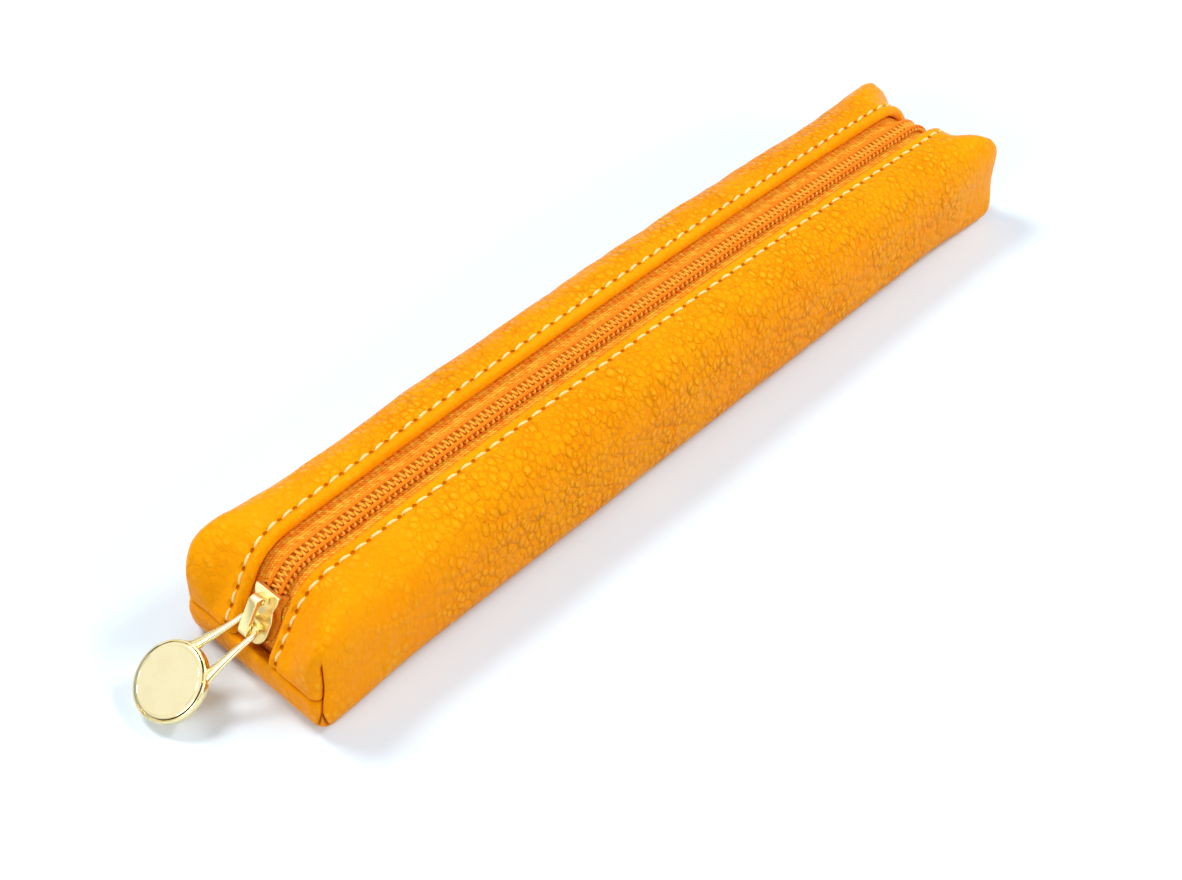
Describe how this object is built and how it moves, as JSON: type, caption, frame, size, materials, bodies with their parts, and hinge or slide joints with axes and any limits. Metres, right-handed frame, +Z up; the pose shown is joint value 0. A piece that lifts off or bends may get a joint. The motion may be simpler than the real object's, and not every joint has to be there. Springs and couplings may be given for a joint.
{
  "type": "leather pencil case",
  "caption": "Slim orange pebbled-leather pencil case with boxed ends, cream topstitching and a coil zip whose slider carries a round gold pull on two arms",
  "frame": {"origin": "middle of the underside, where the case rests on a table", "axes": "X along the case with the closed end of the zip and its slider towards -X, Y across the case, Z up"},
  "size_m": [0.2287, 0.0382, 0.0278],
  "materials": {
    "orange_leather": "pebbled grain, semi-matte",
    "lining_cloth": "plain woven, matte",
    "zip_webbing": "woven herringbone tape, matte",
    "zip_nylon": "moulded filament, soft sheen",
    "orange_thread": "spun thread, matte",
    "cream_thread": "twisted thread, soft sheen",
    "pale_gold": "polished pale gold plate",
    "polished_gold": "mirror-polished pale gold plate"
  },
  "bodies": {
    "root": {"leather_body": "orange_leather", "lining": "lining_cloth", "zip_tape_left": "zip_webbing", "zip_tape_right": "zip_webbing", "topstitch_left": "cream_thread", "topstitch_right": "cream_thread", "end_seam_thread_near": "orange_thread", "end_seam_thread_far": "orange_thread", "corner_thread_near_left": "orange_thread", "corner_thread_near_right": "orange_thread", "corner_thread_far_left": "orange_thread", "corner_thread_far_right": "orange_thread"},
    "slider_carriage": {"slider_pin": "pale_gold"},
    "slider": {"slider_body": "pale_gold", "slider_bridge": "pale_gold"},
    "pull": {"pull_frame": "pale_gold", "pull_medallion": "polished_gold"},
    "chain_left": {"coil_left": "zip_nylon", "coil_thread_left": "orange_thread"},
    "chain_right": {"coil_right": "zip_nylon", "coil_thread_right": "orange_thread"}
  },
  "joints": [
    {"name": "slider_travel", "type": "slide", "parent": "root", "child": "slider_carriage", "axis": [0.9991, 0, 0.0425], "range_m": [0, 0.18474], "deforming": ["zip_tape_left", "zip_tape_right", "coil_left", "coil_right", "coil_thread_left", "coil_thread_right", "leather_body", "lining", "topstitch_left", "topstitch_right", "end_seam_thread_near"]},
    {"name": "slider_pitch", "type": "hinge", "parent": "slider_carriage", "child": "slider", "pos_m": [-0.10087, 0, 0.01947], "axis": [0, 1, 0], "range_deg": [0, 61.5]},
    {"name": "pull_swing", "type": "hinge", "parent": "slider", "child": "pull", "pos_m": [-0.10306, 0, 0.01507], "axis": [0.3095, 0.9367, 0.1636], "range_deg": [-1.5, 110]},
    {"name": "chain_left_open", "type": "hinge", "parent": "root", "child": "chain_left", "pos_m": [0.095, 0, 0.024], "axis": [0, 0, 1], "range_deg": [-0.55, 0]},
    {"name": "chain_right_open", "type": "hinge", "parent": "root", "child": "chain_right", "pos_m": [0.095, 0, 0.024], "axis": [0, 0, 1], "range_deg": [0, 0.55]}
  ],
  "couplings": [
    {"joint": "slider_pitch", "follows": "slider_travel", "rad_per_m": 5.8013},
    {"joint": "chain_left_open", "follows": "slider_travel", "rad_per_m": -0.051},
    {"joint": "chain_right_open", "follows": "slider_travel", "rad_per_m": 0.051}
  ]
}
